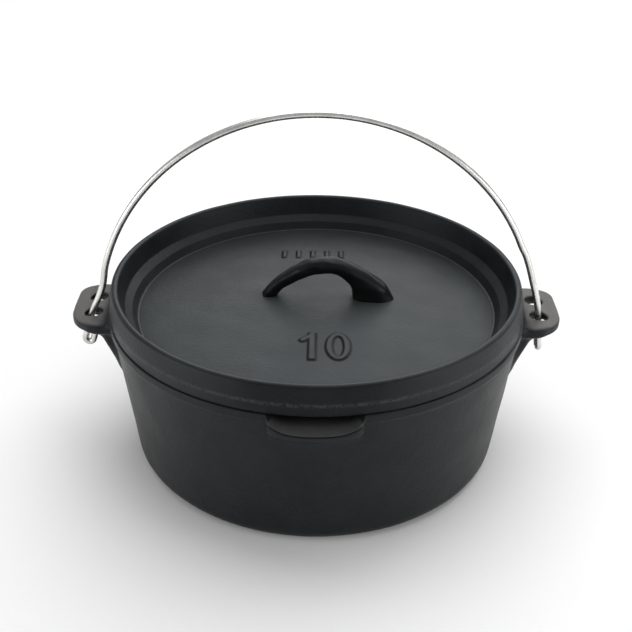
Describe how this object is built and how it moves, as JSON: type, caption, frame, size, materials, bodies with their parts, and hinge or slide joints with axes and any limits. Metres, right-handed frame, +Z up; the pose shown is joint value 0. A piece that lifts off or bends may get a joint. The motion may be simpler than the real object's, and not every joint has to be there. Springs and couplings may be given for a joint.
{
  "type": "cast iron dutch oven",
  "caption": "Round cast iron pot with flat ears, a pour spout, a rimmed lid with a loop handle, and a wire bail hooked through the ears.",
  "frame": {"origin": "centre of the flat bottom of the pot", "axes": "+Z up through the middle of the lid, +X from ear to ear, the pour spout faces -Y"},
  "size_m": [0.334, 0.2899, 0.244],
  "materials": {
    "pot_iron": "fine sand-cast, seasoned to a satin charcoal",
    "lid_iron": "fine sand-cast, seasoned to a satin charcoal",
    "handle_iron": "smooth cast, darker and glossier seasoning",
    "bail_wire": "bright drawn wire"
  },
  "bodies": {
    "pot": {"pot": "pot_iron"},
    "lid": {"lid": "lid_iron", "lid_handle": "handle_iron"},
    "bail": {"bail": "bail_wire"}
  },
  "joints": [
    {"name": "bail_swing", "type": "hinge", "parent": "pot", "child": "bail", "pos_m": [0, -0.0108, 0.0968], "axis": [1, 0, 0], "range_deg": [-40, 40]},
    {"name": "lid_lift", "type": "slide", "parent": "pot", "child": "lid", "axis": [0, 0, 1], "range_m": [0, 0.0072]}
  ]
}
